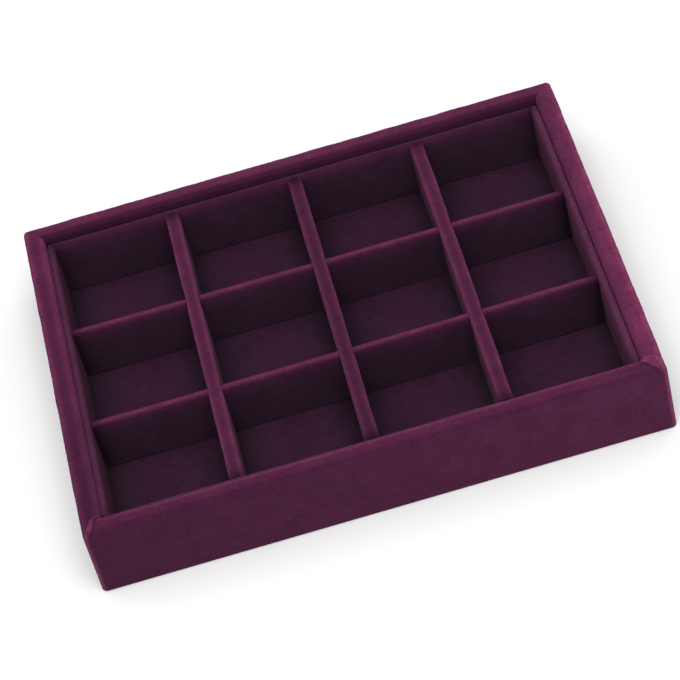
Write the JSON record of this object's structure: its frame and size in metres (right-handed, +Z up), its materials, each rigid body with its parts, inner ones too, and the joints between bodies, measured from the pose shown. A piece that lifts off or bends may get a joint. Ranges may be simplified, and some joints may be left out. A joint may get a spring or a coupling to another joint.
{
  "type": "jewelry tray",
  "caption": "Shallow rectangular tray with thick velvet-covered walls and a lift-out velvet grid that divides it into equal open compartments.",
  "frame": {"origin": "centre of the underside", "axes": "+X along the long side, the front is -Y, +Z up"},
  "size_m": [0.23, 0.18, 0.033],
  "materials": {
    "velvet": "short dense pile",
    "backing_cloth": "matt",
    "fibreboard": "raw",
    "greyboard": "raw"
  },
  "bodies": {
    "tray": {"base_board": "greyboard", "floor_velvet": "velvet", "underside_cloth": "backing_cloth", "front_wall_board": "fibreboard", "back_wall_board": "fibreboard", "left_wall_board": "fibreboard", "right_wall_board": "fibreboard", "front_wall_velvet": "velvet", "back_wall_velvet": "velvet", "left_wall_velvet": "velvet", "right_wall_velvet": "velvet"},
    "grid": {"front_liner_board": "greyboard", "back_liner_board": "greyboard", "left_liner_board": "greyboard", "right_liner_board": "greyboard", "front_liner_velvet": "velvet", "back_liner_velvet": "velvet", "left_liner_velvet": "velvet", "right_liner_velvet": "velvet", "left_long_divider_board": "greyboard", "left_long_divider_velvet": "velvet", "centre_long_divider_board": "greyboard", "centre_long_divider_velvet": "velvet", "right_long_divider_board": "greyboard", "right_long_divider_velvet": "velvet", "rear_cross_divider_board": "greyboard", "rear_cross_divider_velvet": "velvet", "front_cross_divider_board": "greyboard", "front_cross_divider_velvet": "velvet"}
  },
  "joints": [
    {"name": "grid_lift", "type": "slide", "parent": "tray", "child": "grid", "axis": [0, 0, 1], "range_m": [0, 0.04]}
  ]
}
